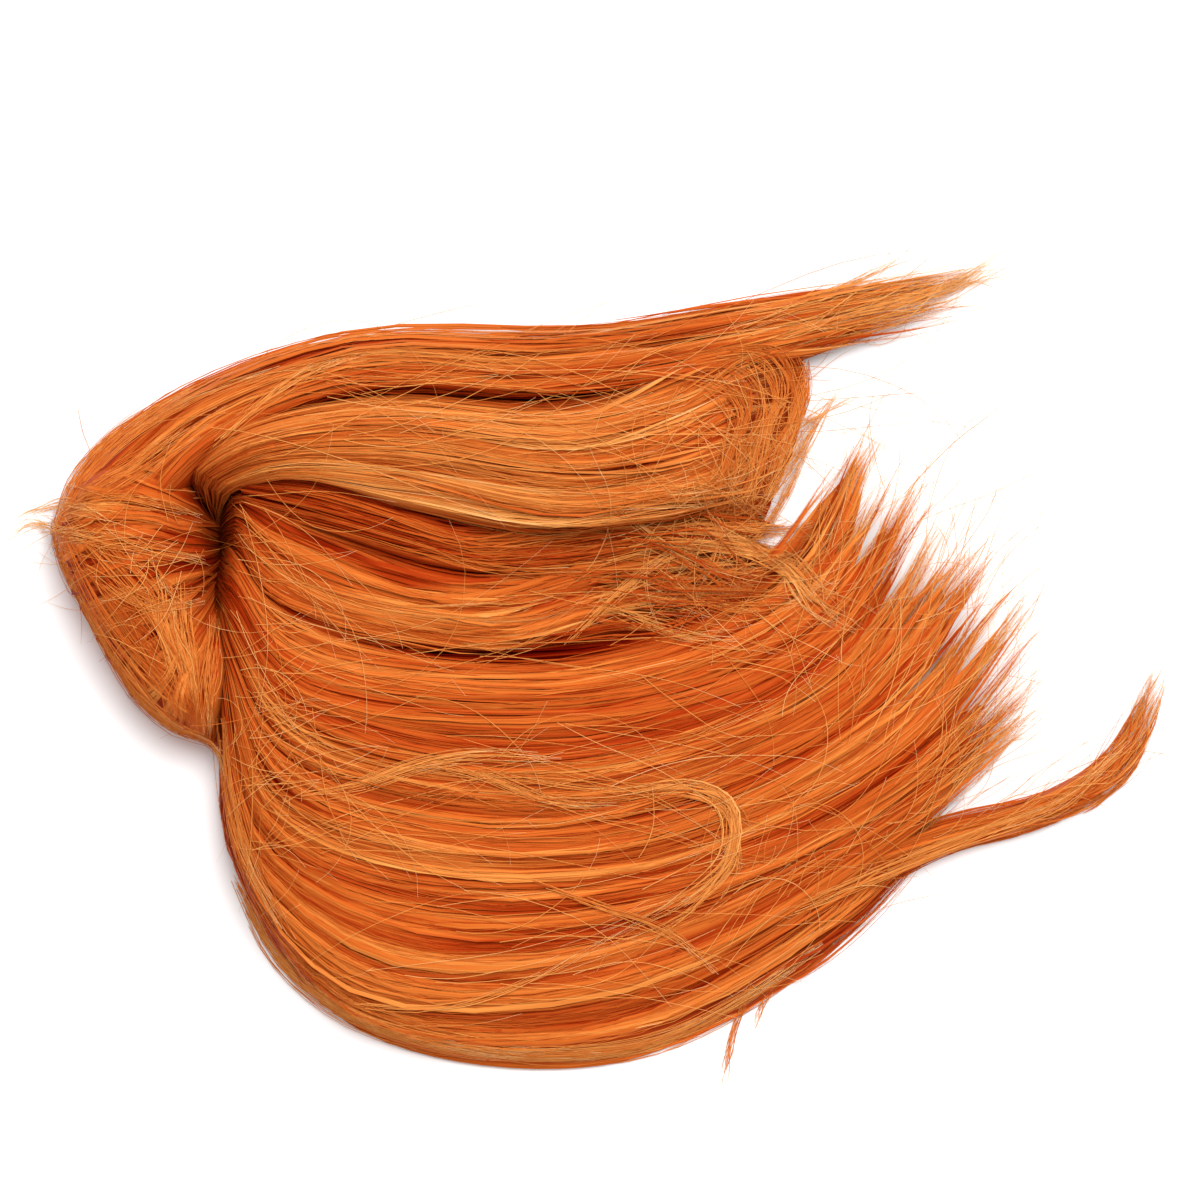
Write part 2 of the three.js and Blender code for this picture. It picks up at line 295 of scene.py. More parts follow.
# The two halves of the wide fan meet along one row
FAN_SEAM = row(1, (0.5, -13), (12, -36), (41, -46), (85, -45), (128, -26), (150, 3))
MIDDLE_FAN = flow(
    row(0.9, (2, 9), (11, -4), (33, -13), (72, -13), (110, 2), (128, 27)),
    row(1, (2.5, -2), (13, -17), (39, -25), (79, -25), (117, -9), (138, 22)),
    row(1, (1.5, -9), (13, -27), (41, -36), (83, -35), (123, -18), (144, 15)),
    FAN_SEAM,
    rise=[22, 26, 21, 18, 13, 3], locks=6, wisps=30, tips=28, strands=580,
    tone=[0.36, 0.52, 0.56, 0.5, 0.44, 0.46], edges=(0.16, 0), fray=0.1, tip_width=0.14,
    valleys=[valley(0.03, 0.47, 0.3, 0.07, 1.5)],
)
LOWER_FAN = flow(
    FAN_SEAM,
    row(1, (0.5, -16), (10, -45), (40, -57), (87, -55), (134, -33), (165, -1)),
    row(0.95, (0.5, -19), (8, -53), (37, -70), (87, -67), (137, -42), (166, -13)),
    row(0.78, (0, -22), (5, -59), (29, -83), (83, -82), (132, -54), (158, -31)),
    row(0.4, (-0.5, -25), (2, -55), (25, -89), (75, -97), (115, -79), (142, -55)),
    rise=[21, 26, 22, 18, 13, 3], locks=8, wisps=28, tips=26, strands=660,
    tone=[0.34, 0.5, 0.56, 0.5, 0.44, 0.46], edges=(0, 0.12), fray=0.1, tip_width=0.14,
)
# Each piece, the node that it stands for, its material slot and its flows
PIECES = [
    ("cuff_strands", "cuff_roll", "hair_copper", [CUFF, CUFF_SWEEP, CUFF_LOCK]),
    ("arc_strands", "arc_lock", "hair_gold", [ARC]),
    ("loop_strands", "loop_lock", "hair_gold", [LOOP]),
    ("wave_strands", "wave_tress", "hair_gold", [WAVE, WAVE_FRINGE]),
    ("crest_strands", "crest_tress", "hair_gold", [CREST]),
    ("swoop_strands", "swoop_tress", "hair_copper", [SWOOP_LAYER, SWOOP_SHEET, TANGLE]),
    ("tail_strands", "tail_lock", "hair_copper", [TAIL]),
    ("middle_fan_strands", "middle_fan", "hair_copper", [MIDDLE_FAN]),
    ("lower_fan_strands", "lower_fan", "hair_copper", [LOWER_FAN]),
]


# Curves and surfaces
def smoothstep(x, low, high):
    w = np.clip((x - low) / (high - low), 0, 1)
    return w * w * (3 - 2 * w)


def unit(vectors):
    return vectors / (np.linalg.norm(vectors, axis=-1, keepdims=True) + 1e-9)


def spline(points, t, centripetal=True):
    """A Catmull-Rom curve through points, at each t from 0 to 1."""
    p = np.asarray(points, float)
    if p.ndim == 1:
        p = p[:, None]
    last = len(p) - 1
    place = np.clip(t, 0, 1) * last
    i = np.minimum(place.astype(int), last - 1)
    w = (place - i)[:, None]
    ends = np.vstack([2 * p[0] - p[1], p, 2 * p[-1] - p[-2]])
    p0, p1, p2, p3 = (ends[i + k] for k in range(4))
    power = 0.5 if centripetal else 0.0
    d0, d1, d2 = (
        np.linalg.norm(b - a, axis=1, keepdims=True) ** power
        for a, b in ((p0, p1), (p1, p2), (p2, p3))
    )
    m1 = ((p1 - p0) / d0 - (p2 - p0) / (d0 + d1) + (p2 - p1) / d1) * d1
    m2 = ((p2 - p1) / d1 - (p3 - p1) / (d1 + d2) + (p3 - p2) / d2) * d1
    return (
        (2 * w**3 - 3 * w**2 + 1) * p1
        + (w**3 - 2 * w**2 + w) * m1
        + (3 * w**2 - 2 * w**3) * p2
        + (w**3 - w**2) * m2
    )


def blend(grid, i, j, wi, wj):
    """Values of a grid between its cells: from cells i and j, and how far on from them."""
    near = grid[i, j] * (1 - wj) + grid[i, j + 1] * wj
    far = grid[i + 1, j] * (1 - wj) + grid[i + 1, j + 1] * wj
    return near * (1 - wi) + far * wi


class Surface:
    """What a flow's guide rows span: u runs across the rows, t along them."""

    def __init__(self, table):
        t = np.linspace(0, 1, SURFACE_SAMPLES)
        self.rows = np.stack([spline(guide.path, t) for guide in table.guides])
        self.loft = np.array([guide.loft for guide in table.guides], float)
        self.rise = spline(table.rise, t, centripetal=False)[:, 0]
        self.edges = table.edges

    def _across(self, u):
        place = np.asarray(u) * (len(self.loft) - 1)
        guide = np.clip(np.floor(place).astype(int), 0, len(self.loft) - 2)
        return guide, np.clip(place - guide, -PAST_EDGE, 1 + PAST_EDGE)

    def _along(self, t):
        place = t * (SURFACE_SAMPLES - 1)
        step = np.clip(place.astype(int), 0, SURFACE_SAMPLES - 2)
        return step, place - step

    def plan(self, u, t):
        guide, share = self._across(u)
        step, w = self._along(t)
        return blend(self.rows, guide, step, share[..., None], w[..., None])

    def top(self, u, t):
        """The height over the floor, round at the two sides."""
        guide, share = self._across(u)
        share = np.clip(share, 0, 1)
        loft = self.loft[guide] * (1 - share) + self.loft[guide + 1] * share
        step, w = self._along(np.clip(t, 0, 1))
        height = (self.rise[step] * (1 - w) + self.rise[step + 1] * w) * loft
        for share, inward in zip(self.edges, (u, 1 - u)):
            if share:
                height = height * np.sqrt(1 - np.clip(1 - inward / share, 0, STEEPEST_EDGE) ** 2)
        return height


def waves(phase, t, wander):
    """Slow wander along hairs: two sine waves, each of the hair's own phase."""
    size, cycles = wander
    rate, share = OVERTONE
    first = np.sin(2 * np.pi * (cycles * t + phase[:, :1]))
    second = np.sin(2 * np.pi * (rate * cycles * t + phase[:, 1:2]))
    return size * (first + share * second)


def sideways(line):
    """The level direction across each line of points."""
    ahead = unit(np.gradient(line[..., :2], axis=1))
    return np.stack([-ahead[..., 1], ahead[..., 0]], axis=2)


def raised(plan, heights):
    return np.concatenate([plan, heights[..., None]], axis=2)


def tuck_roots(line, shift=0):
    """Lines with their roots led down into the band's opening, shifted along it."""
    first = line[:, 0]
    deep = first.copy()
    across, along, past = ROOT_KEPT
    deep[:, 0] = HOLE[0] - across * (first[:, 0] - HOLE[0]) + ROOT_SKEW * shift
    reach = np.clip(first[:, 1] - HOLE[1], -HOLE_HALF_LENGTH, HOLE_HALF_LENGTH)
    deep[:, 1] = HOLE[1] + along * reach + past * (first[:, 1] - HOLE[1] - reach) + shift
    shallow = smoothstep(first[:, 1], *SHALLOW_SIDE)
    deep[:, 2] *= DEEP_HEIGHT[0] + DEEP_HEIGHT[1] * shallow
    half = first + HALF_WAY * (deep - first)
    half[:, 2] = (HALF_HEIGHT[0] + HALF_HEIGHT[1] * shallow) * first[:, 2]
    line = np.concatenate([deep[:, None], half[:, None], line], axis=1)
    for _ in range(ROOT_PASSES):
        line[:, 1:5] = (line[:, :4] + 2 * line[:, 1:5] + line[:, 2:6]) / 4
    return line


# Heights of the hair, for what lies on it
CELL = 1.0
GRID_LOW = np.array((-60.0, -125.0))
GRID_SIZE = np.array((280, 215))
GROUND_PASSES = 3
GROUND_SAMPLES = (300, 150)
GROUND_REACH = 0.97
GROUND_SIDES = (0.02, 0.98)


class Ground:
    """The height of the hair over the plan, smoothed."""

    def __init__(self, tables):
        grid = np.zeros(GRID_SIZE)
        along = np.linspace(0, GROUND_REACH, GROUND_SAMPLES[0])
        across = np.linspace(*GROUND_SIDES, GROUND_SAMPLES[1])
        t, u = np.meshgrid(along, across, indexing="ij")
        for table in tables:
            surface = Surface(table)
            cell = ((surface.plan(u, t) - GRID_LOW) / CELL).astype(int)
            cell = np.clip(cell, 0, GRID_SIZE - 1)
            np.maximum.at(grid, (cell[..., 0], cell[..., 1]), surface.top(u, t))
        smooth = grid
        for _ in range(GROUND_PASSES):
            for axis in (0, 1):
                smooth = (np.roll(smooth, 1, axis) + 2 * smooth + np.roll(smooth, -1, axis)) / 4
        self.grid = np.maximum(smooth, grid)

    def at(self, plan):
        place = np.clip((plan - GRID_LOW) / CELL - 0.5, 0, GRID_SIZE - 2.0)
        cell = place.astype(int)
        w = place - cell
        return blend(self.grid.T, cell[..., 1], cell[..., 0], w[..., 1], w[..., 0])


class Layer:
    """The wisps of one flow: where each lies in its lock and how it wanders."""

    def __init__(self, table, ground):
        self.table = table
        self.ground = ground
        self.surface = Surface(table)
        locks = table.locks
        number = np.arange(locks)
        uneven = (number * GOLDEN_RATIO) % 1
        n = locks * (table.wisps + table.tips)
        short = np.arange(n) >= locks * table.wisps
        lock = np.arange(n) % locks
        self.middle = ((number + 0.5 + RAGGED_PLACE * (uneven - 0.5)) / locks)[lock]
        self.half = 0.5 * LOCK_OVERLAP / locks
        self.reach = (1 - RAGGED_REACH * uneven)[lock]
        self.s = rng.uniform(-1, 1, n)
        self.spread = np.exp(rng.uniform(*np.log(table.spread), n)) * np.where(short, TIP_SPREAD, 1)
        self.depth = WISP_DEPTH * rng.random(n)
        self.lift = rng.uniform(*(table.lies or (0, 0)), n)
        self.start = np.where(short, rng.uniform(*TIP_START, n), table.late * rng.random(n))
        end = table.stop * self.reach * (1 - table.fray * rng.random(n) ** 2)
        self.end = np.maximum(end, np.minimum(self.start + SHORTEST, table.stop))
        self.lock_phase = rng.random((locks, 2))[lock]
        self.phase = rng.random((n, 2))
        self.shift = rng.normal(0, ROOT_SHIFT, n)
        self.splay = rng.normal(0, table.splay, n)
        self.droop = table.droop * rng.random(n) ** 2
        lock_tone = rng.normal(0, LOCK_TONE, locks)[lock]
        # Deeper wisps are darker: painted shade under the wisps above them
        self.tint = lock_tone + rng.normal(0, WISP_TONE, n) - self.depth

        self.ridges = [
            (locks * rng.uniform(*RIDGE_ACROSS), rng.uniform(-RIDGE_ALONG, RIDGE_ALONG), rng.random())
            for _ in range(RIDGE_WAVES)
        ]
        self.grooves = [
            Row(
                u=rng.uniform(*GROOVE_ACROSS),
                t=rng.uniform(*GROOVE_ALONG),
                length=rng.uniform(*GROOVE_LENGTH),
                width=rng.uniform(*GROOVE_WIDTH) / locks,
                slope=rng.normal(0, GROOVE_SLOPE),
                depth=rng.uniform(*GROOVE_SHARE),
            )
            for _ in range(GROOVES_PER_LOCK * locks)
        ]
        self.grooves += table.valleys

    # The tone along a flow: the hair's own colour with painted highlight bands where the sheen falls
    def tone(self, t):
        values = spline(self.table.tone, t.ravel(), centripetal=False)
        return values.reshape(t.shape)

    def relief(self, u, t):
        """How far places on the flow stand out, in millimetres, and how painted light and shade shift
        their tone.
        """
        ridge = sum(np.sin(2 * np.pi * (a * u + b * t + c)) for a, b, c in self.ridges)
        ridge = ridge / math.sqrt(len(self.ridges))
        groove = np.zeros_like(u)
        for g in self.grooves:
            window = np.clip(1 - ((t - g.t) / g.length) ** 2, 0, 1) ** 2
            away = (u - g.u - g.slope * (t - g.t)) / g.width
            groove = np.maximum(groove, g.depth * window * np.exp(-(away**2)))
        # The tone shift is painted light on the ridges and painted shade in the grooves
        return RIDGE_HEIGHT * ridge - GROOVE_DEPTH * groove, RIDGE_PAINTED_SHADING * ridge - GROOVE_PAINTED_SHADE * groove

    def lay(self, wisp, q, along):
        """Points of hairs at q across their wisps, from -1 to 1, at each share along
        them, and the tone at each."""
        def of(values):
            return values[wisp][:, None]

        t = of(self.start) + (of(self.end) - of(self.start)) * along
        late = LAID_TAPER_START if self.table.lies else WISP_TAPER_START
        taper = 1 - self.table.point * smoothstep(along, late, 1)
        thin, whole = OPEN_END
        opening = thin + (1 - thin) * smoothstep(along, 0, whole)
        taper = taper * np.where(of(self.start) > 0, opening, 1)
        s = of(self.s) + q[:, None] * of(self.spread) * taper
        narrow = 1 + (self.table.tip_width - 1) * smoothstep(t / of(self.reach), TAPER_START, 1)
        u = of(self.middle) + s * self.half * narrow
        plan = self.surface.plan(u, t)
        wander = waves(self.lock_phase[wisp], t, LOCK_WANDER)
        wander = wander + waves(self.phase[wisp], t, WISP_WANDER)
        wander = wander * self.table.wander * (WANDER_START + t)
        wander = wander + of(self.splay) * smoothstep(along, SPLAY_FROM, 1) ** SPLAY_POWER
        plan = plan + sideways(plan) * wander[..., None]
        if self.table.lies:
            arch = LAID_END_LIFT + (1 - LAID_END_LIFT) * np.sin(np.pi * along) ** LAID_ARCH
            z = self.ground.at(plan) + of(self.lift) * arch
            tone = self.tone(t)
        else:
            top = self.surface.top(u, t)
            relief, shift = self.relief(u, t)
            tone = self.tone(t) + shift
            z = top * (1 - of(self.depth)) * (1 - of(self.droop) * smoothstep(t, DROOP_FROM, 1))
            z = z + relief * smoothstep(top, *RELIEF_FADE)
        return raised(plan, z), tone

    def finish_line(self, line, wisp, clear):
        """Lines of these wisps with their roots tucked in, kept over the floor."""
        if self.table.tuck:
            first, step = line[:, :1], line[:, 1:2] - line[:, :1]
            early = np.concatenate([first - share * step for share in EARLY_POINTS] + [line], axis=1)
            rooted = self.rooted(wisp)[:, None, None]
            line = np.where(rooted, tuck_roots(line, self.shift[wisp]), early)
        line[..., 2] = np.maximum(line[..., 2], clear + FLOOR_CLEARANCE)
        return line

    def with_roots(self, values):
        """Values along hairs, with those of the tucked roots in front."""
        if self.table.tuck:
            values = np.concatenate([values[:, :1]] * ROOT_POINTS + [values], axis=1)
        return values

    def rooted(self, wisp):
        """Which wisps start in the band's opening."""
        return self.table.tuck & (self.start[wisp] < EARLY_START)

    def along_values(self, points, wisp):
        """Where hairs' points are, for painted root shade and tip light; open roots start part of the way.
        """
        low = np.where(self.rooted(wisp), 0, OPEN_ROOT)[:, None]
        high = 1 if self.table.pale_tips else BODY_ALONG
        return low + (high - low) * np.linspace(0, 1, points)


# Bodies through rings of points. In the bake map each has a cell, inside these margins
MAP_CELL_LENGTH = 4
MAP_ALONG = (0.04, 0.96)
MAP_ACROSS = (0.06, 0.94)
MAP_CAP = 0.03
# Almost straight up, so that no hair runs along it
NEARLY_UP = np.array([0.03, 0.02, 1.0])


def sweep(line, across, up, profile):
    """Rings of a profile along lines, from each point's two section vectors."""
    x, z = np.array(profile, float).T[..., None]
    return line[:, :, None] + across[:, :, None] * x + up[:, :, None] * z


def wisp_part(layer, room):
    """Thin lens-shaped bodies that follow the wisps and come to a point."""
    n = len(layer.s)
    wisp = np.arange(n)
    along = np.linspace(0, 1, WISP_POINTS)[None, :] ** LATE_STEPS * np.ones((n, 1))
    laid_out = [layer.lay(wisp, np.full(n, q), along) for q in (0.0, -1.0, 1.0)]
    line, left, right = (layer.finish_line(part, wisp, WISP_THICKNESS[1]) for part, _ in laid_out)
    tone = laid_out[0][1]
    across = (right - left) / 2
    half_width = np.linalg.norm(across, axis=2, keepdims=True)
    widest = LAID_WIDEST if layer.table.lies else WISP_WIDEST
    across = across * np.minimum(1, widest / (half_width + 1e-9))
    half_width = np.minimum(half_width, widest)
    ends = np.clip((1 - along) / (1 - WISP_TAPER_START), WISP_END, 1)
    if layer.table.lies:
        ends = np.clip(np.minimum(along / LAID_ENDS[0], (1 - along) / LAID_ENDS[1]), LAID_END, 1)
    ends = layer.with_roots(ends)[..., None]
    across, half_width = across * ends, half_width * ends
    up = unit(np.cross(np.gradient(line, axis=1), across))
    up = up * np.sign(up[..., 2].mean(axis=1))[:, None, None]
    up = up * np.clip(WISP_SLOPE * half_width, *WISP_THICKNESS)
    rings = sweep(line, across, up, WISP_PROFILE)
    rings[..., 2] = np.maximum(rings[..., 2], FLOOR_CLEARANCE)
    middle = half_width[:, rings.shape[1] // 2, 0]
    x = np.array(WISP_PROFILE)[:, 0]
    streak = middle[:, None] * x / STREAK_WIDTH + STREAK_SEEDS * rng.random((n, 1))
    tint = layer.tint[:, None] + layer.with_roots(tone)
    sharp = np.abs(x) == 1
    along = layer.along_values(rings.shape[1], wisp)
    return loft_part(rings, tint[..., None], streak, along, room, sharp)


def strand_part(layer, room):
    """Fine tubes on the wisps, some of them loose."""
    n = layer.table.strands
    wisp = rng.integers(len(layer.s), size=n)
    q = rng.uniform(-STRAND_ASIDE, STRAND_ASIDE, n)
    reach = STRAND_REACH - STRAND_FRAY * rng.random(n) ** 3
    along = np.linspace(0, 1, STRAND_POINTS)[None, :] ** LATE_STEPS * reach[:, None]
    line, tone = layer.lay(wisp, q, along)
    loose = np.where(rng.random(n) < LOOSE_SHARE, 1.0, 0.0)[:, None]
    wander = waves(rng.random((n, 2)), along, STRAND_WANDER) * (STRAND_START + along)
    wander += loose * waves(rng.random((n, 2)), along, LOOSE_WANDER) * along
    line[..., :2] += sideways(line) * wander[..., None]
    line[..., 2] += rng.uniform(*STRAND_LIFT, n)[:, None] + loose * (LOOSE_LIFT[0] + LOOSE_LIFT[1] * along)
    radius = rng.uniform(*STRAND_RADIUS, n)[:, None]
    radius = radius * (1 - (1 - TIP_RADIUS_SHARE) * smoothstep(along, THIN_FROM, 1))
    line = layer.finish_line(line, wisp, radius.max())
    tint = (layer.tint[wisp] + rng.normal(*STRAND_TONE, n) + LOOSE_TONE * loose[:, 0])[:, None]
    tint = tint + layer.with_roots(tone)
    return tube_part(line, layer.with_roots(radius), tint, layer.along_values(line.shape[1], wisp), room)


def tube_part(line, radius, tint, along, room):
    """Three-sided tubes along lines of points."""
    ahead = unit(np.gradient(line, axis=1))
    side = unit(np.cross(ahead, NEARLY_UP))
    up = np.cross(side, ahead)
    rings = sweep(line, side * radius[..., None], up * radius[..., None], STRAND_PROFILE)
    streak = STREAK_SEEDS * rng.random((len(line), 1)) * np.ones(len(STRAND_PROFILE))
    return loft_part(rings, tint[..., None], streak, along, room, np.ones(len(STRAND_PROFILE), bool))


def body_part(layer, room):
    """The smooth closed body that fills a flow under its wisps and thins out to the tips."""
    surface = layer.surface
    u = np.linspace(*BODY_SIDES, BODY_ACROSS)[None, :] * np.ones((BODY_STEPS, 1))
    reach = layer.table.body * np.ones(BODY_ACROSS)
    if layer.table.body < 1:
        away = np.abs(u[0][:, None] - layer.middle[: layer.table.locks])
        lock = away.argmin(axis=1)
        inner = 1 - smoothstep(away.min(axis=1) / layer.half, *BODY_NOTCH)
        reach = reach * (1 + BODY_RAGGED * layer.relief(u[0], np.ones(BODY_ACROSS))[0])
        reach = reach * (1 - layer.table.notch * (1 - inner) * layer.reach[lock])
    t = np.linspace(BODY_START, 1, BODY_STEPS)[:, None] * reach
    top = surface.top(u, t)
    relief, shift = layer.relief(u, t)
    # Painted shade under the wisps, and painted light and shade from the relief
    tone = layer.tone(t) + shift + BODY_PAINTED_SHADE
    high = BODY_SHARE * top - BODY_SINK + relief * smoothstep(top, *RELIEF_FADE)
    if layer.table.body < 1:
        high = high * (1 - smoothstep(t, BODY_FADE_SHARE * reach, reach))
    high = np.maximum(high, 2 * FLOOR_CLEARANCE)
    plan = surface.plan(u, t)
    upper = raised(plan, high)
    lower = raised(plan, np.full_like(high, FLOOR_CLEARANCE))
    if layer.table.tuck:
        upper = tuck_roots(upper.transpose(1, 0, 2)).transpose(1, 0, 2)
        lower = np.concatenate([upper[:ROOT_POINTS], lower])
        lower[:ROOT_POINTS, :, 2] = FLOOR_CLEARANCE
        tone = np.concatenate([tone[:1]] * ROOT_POINTS + [tone])
    rings = np.concatenate([upper, lower[:, ::-1]], axis=1)[None]
    width = np.linalg.norm(np.diff(plan[BODY_STEPS // 2], axis=0), axis=1).sum()
    streak = np.concatenate([u[0], u[0, ::-1]])[None] * width / STREAK_WIDTH
    tint = np.concatenate([tone, tone[:, ::-1]], axis=1)[None]
    along = np.linspace(0 if layer.table.tuck else OPEN_ROOT, BODY_ALONG, rings.shape[1])[None]
    return loft_part(rings, tint, streak, along, room, np.zeros(rings.shape[2], bool))


def cap_triples(count):
    """Triangles across a ring of this many points, in strips from side to side."""
    triples = []
    for k in range((count - 1) // 2):
        last = count - 1 - k
        triples += [(k, k + 1, last - 1), (k, last - 1, last)]
    return np.array([t for t in triples if len(set(t)) == 3])


def loft_part(rings, tint, streak, along, room, sharp):
    """Closed bodies through rings, laid out in cells of a strip of the bake map. sharp
    says which points of a ring lie on a sharp edge."""
    n, m, c, _ = rings.shape
    ids = np.arange(n * m * c).reshape(n, m, c)
    beside = np.roll(ids, -1, axis=2)
    quads = np.stack([ids[:, :-1], beside[:, :-1], beside[:, 1:], ids[:, 1:]], axis=-1)
    caps = cap_triples(c)
    tris = np.stack([ids[:, 0][:, caps[:, ::-1]], ids[:, -1][:, caps]], axis=1)

    columns = max(1, round(math.sqrt(n / MAP_CELL_LENGTH)))
    rows = -(-n // columns)
    cell = np.stack([np.arange(n) % columns, np.arange(n) // columns], axis=1)
    size = np.array([1 / columns, (room[1] - room[0]) / rows])
    u_step = np.linspace(*MAP_ALONG, m)
    v_step = np.linspace(*MAP_ACROSS, c + 1)
    grid = np.stack(np.meshgrid(u_step, v_step, indexing="ij"), axis=-1)
    quad_uv = np.stack([grid[:-1, :-1], grid[:-1, 1:], grid[1:, 1:], grid[1:, :-1]], axis=2)
    cap_u = np.array([0, MAP_CAP])[caps % 2]
    cap_uv = np.stack([
        np.stack([cap_u[:, ::-1], v_step[caps[:, ::-1]]], axis=-1),
        np.stack([1 - cap_u, v_step[caps]], axis=-1),
    ])
    low = np.array([0.0, room[0]])
    quad_uv = low + (cell[:, None, None, None] + quad_uv[None]) * size
    tri_uv = low + (cell[:, None, None, None] + cap_uv[None]) * size

    # Faces out: turn them all over if the bodies enclose a negative volume
    corner = rings.reshape(-1, 3)[quads.reshape(-1, 4)]
    corner = corner - rings.reshape(-1, 3).mean(axis=0)
    inside_out = np.einsum("ij,ij->", corner[:, 0], np.cross(corner[:, 1], corner[:, 2])) < 0
    turn = slice(None, None, -1) if inside_out else slice(None)
    return dict(
        verts=rings.reshape(-1, 3),
        sharp=np.broadcast_to(sharp, (n, m, c)).ravel(),
        quads=quads.reshape(-1, 4)[:, turn],
        quad_uv=quad_uv.reshape(-1, 4, 2)[:, turn],
        tris=tris.reshape(-1, 3)[:, turn],
        tri_uv=tri_uv.reshape(-1, 3, 2)[:, turn],
        tint=np.broadcast_to(np.clip(tint, 0, 1), (n, m, c)).ravel(),
        streak=np.broadcast_to(streak[:, None], (n, m, c)).ravel(),
        along=np.broadcast_to(along[..., None], (n, m, c)).ravel(),
    )


def placed(name, data):
    made = bpy.data.objects.new(name, data)
    bpy.context.scene.collection.objects.link(made)
    return made


def mesh_object(name, parts, material):
    """One object from parts, with what its material reads and the bake map."""
    def joined(key):
        return np.concatenate([p[key] for p in parts])

    offsets = np.cumsum([0] + [len(p["verts"]) for p in parts])
    verts = joined("verts") * MM
    quads, tris = (
        np.concatenate([p[key] + o for p, o in zip(parts, offsets)]) for key in ("quads", "tris")
    )
    mesh = bpy.data.meshes.new(name)
    mesh.vertices.add(len(verts))
    mesh.vertices.foreach_set("co", verts.astype(np.float32).ravel())
    corners = np.concatenate([quads.ravel(), tris.ravel()])
    mesh.loops.add(len(corners))
    mesh.loops.foreach_set("vertex_index", corners.astype(np.int32))
    sizes = np.repeat([4, 3], [len(quads), len(tris)])
    starts = np.concatenate([[0], np.cumsum(sizes)[:-1]])
    mesh.polygons.add(len(sizes))
    mesh.polygons.foreach_set("loop_start", starts.astype(np.int32))
    mesh.polygons.foreach_set("loop_total", sizes.astype(np.int32))
    for key in ("tint", "streak", "along"):
        values = joined(key).astype(np.float32)
        mesh.attributes.new(key, "FLOAT", "POINT").data.foreach_set("value", values)
    uv = np.concatenate([joined(key).reshape(-1, 2) for key in ("quad_uv", "tri_uv")])
    mesh.uv_layers.new(name="OFBake").data.foreach_set("uv", uv.astype(np.float32).ravel())
    mesh.update(calc_edges=True)
    mesh.validate()
    mesh.shade_smooth()
    ends = np.zeros(2 * len(mesh.edges), np.int32)
    mesh.edges.foreach_get("vertices", ends)
    sharp = joined("sharp")[ends.reshape(-1, 2)].all(axis=1)
    mesh.edges.foreach_set("use_edge_sharp", sharp)
    mesh.materials.append(material)
    return placed(name, mesh)


# Materials
STREAK_WIDTH = 0.45
STREAK_SEEDS = 400.0
STREAK_STRETCH = 7.0
STREAK_NOISE = dict(Scale=1.0, Detail=3.5, Roughness=0.65)
STREAK_SHIFT = {"To Min": -0.32, "To Max": 0.18}
# Painted light: tips grow lighter, standing in for light through thin hair
PAINTED_TIP_LIGHT = {"From Min": 0.84, "To Max": 0.4}
# Painted shade: roots darken where they dive into the band's opening
PAINTED_ROOT_SHADE = {"From Max": 0.16, "To Min": 0.3}
HAIR_ROUGHNESS = {"To Min": 0.36, "To Max": 0.56}
HAIR_SPECULAR = 0.02
HAIR_SPECULAR_TINT = (1.0, 0.62, 0.3, 1)
HAIR_BUMP = dict(Strength=0.35, Distance=0.0001)
THREAD_BUMP = dict(Strength=0.6, Distance=0.0003)
THREAD_RAMP = [(0.0, (0.012, 0.005, 0.003)), (1.0, (0.06, 0.022, 0.010))]
THREADS = dict(Scale=900, Distortion=2.5)
ELASTIC_ROUGHNESS = 0.82
COPPER_RAMP = [
    (0.0, (0.165, 0.004, 0.0004)),
    (0.25, (0.38, 0.034, 0.0036)),
    (0.5, (0.57, 0.126, 0.018)),
    (0.75, (0.71, 0.275, 0.060)),
    (1.0, (0.84, 0.50, 0.21)),
]
GOLD_RAMP = [
    (0.0, (0.18, 0.007, 0.0006)),
    (0.25, (0.40, 0.044, 0.0046)),
    (0.5, (0.60, 0.148, 0.023)),
    (0.75, (0.74, 0.310, 0.075)),
    (1.0, (0.86, 0.55, 0.26)),
]


def new_material(name):
    material = bpy.data.materials.new(name)
    material.use_nodes = True
    tree = material.node_tree
    return material, tree, tree.nodes["Principled BSDF"]


def put(tree, node, inputs):
    """Gives each input of a node a value, or links it to what another node gives."""
    for name, value in inputs.items():
        if isinstance(value, bpy.types.NodeSocket):
            tree.links.new(value, node.inputs[name])
        else:
            node.inputs[name].default_value = value


def given(tree, kind, output, inputs, operation=None):
    """What a new node gives."""
    node = tree.nodes.new("ShaderNode" + kind)
    if operation:
        node.operation = operation
    put(tree, node, inputs)
    return node.outputs[output]


def attribute(tree, name):
    node = tree.nodes.new("ShaderNodeAttribute")
    node.attribute_name = name
    return node.outputs["Fac"]


def ramp_colour(tree, place, ramp):
    node = tree.nodes.new("ShaderNodeValToRGB")
    elements = node.color_ramp.elements
    for k, (stop, colour) in enumerate(ramp):
        element = elements[k] if k < 2 else elements.new(stop)
        element.position = stop
        element.color = (*colour, 1)
    put(tree, node, {"Fac": place})
    return node.outputs["Color"]


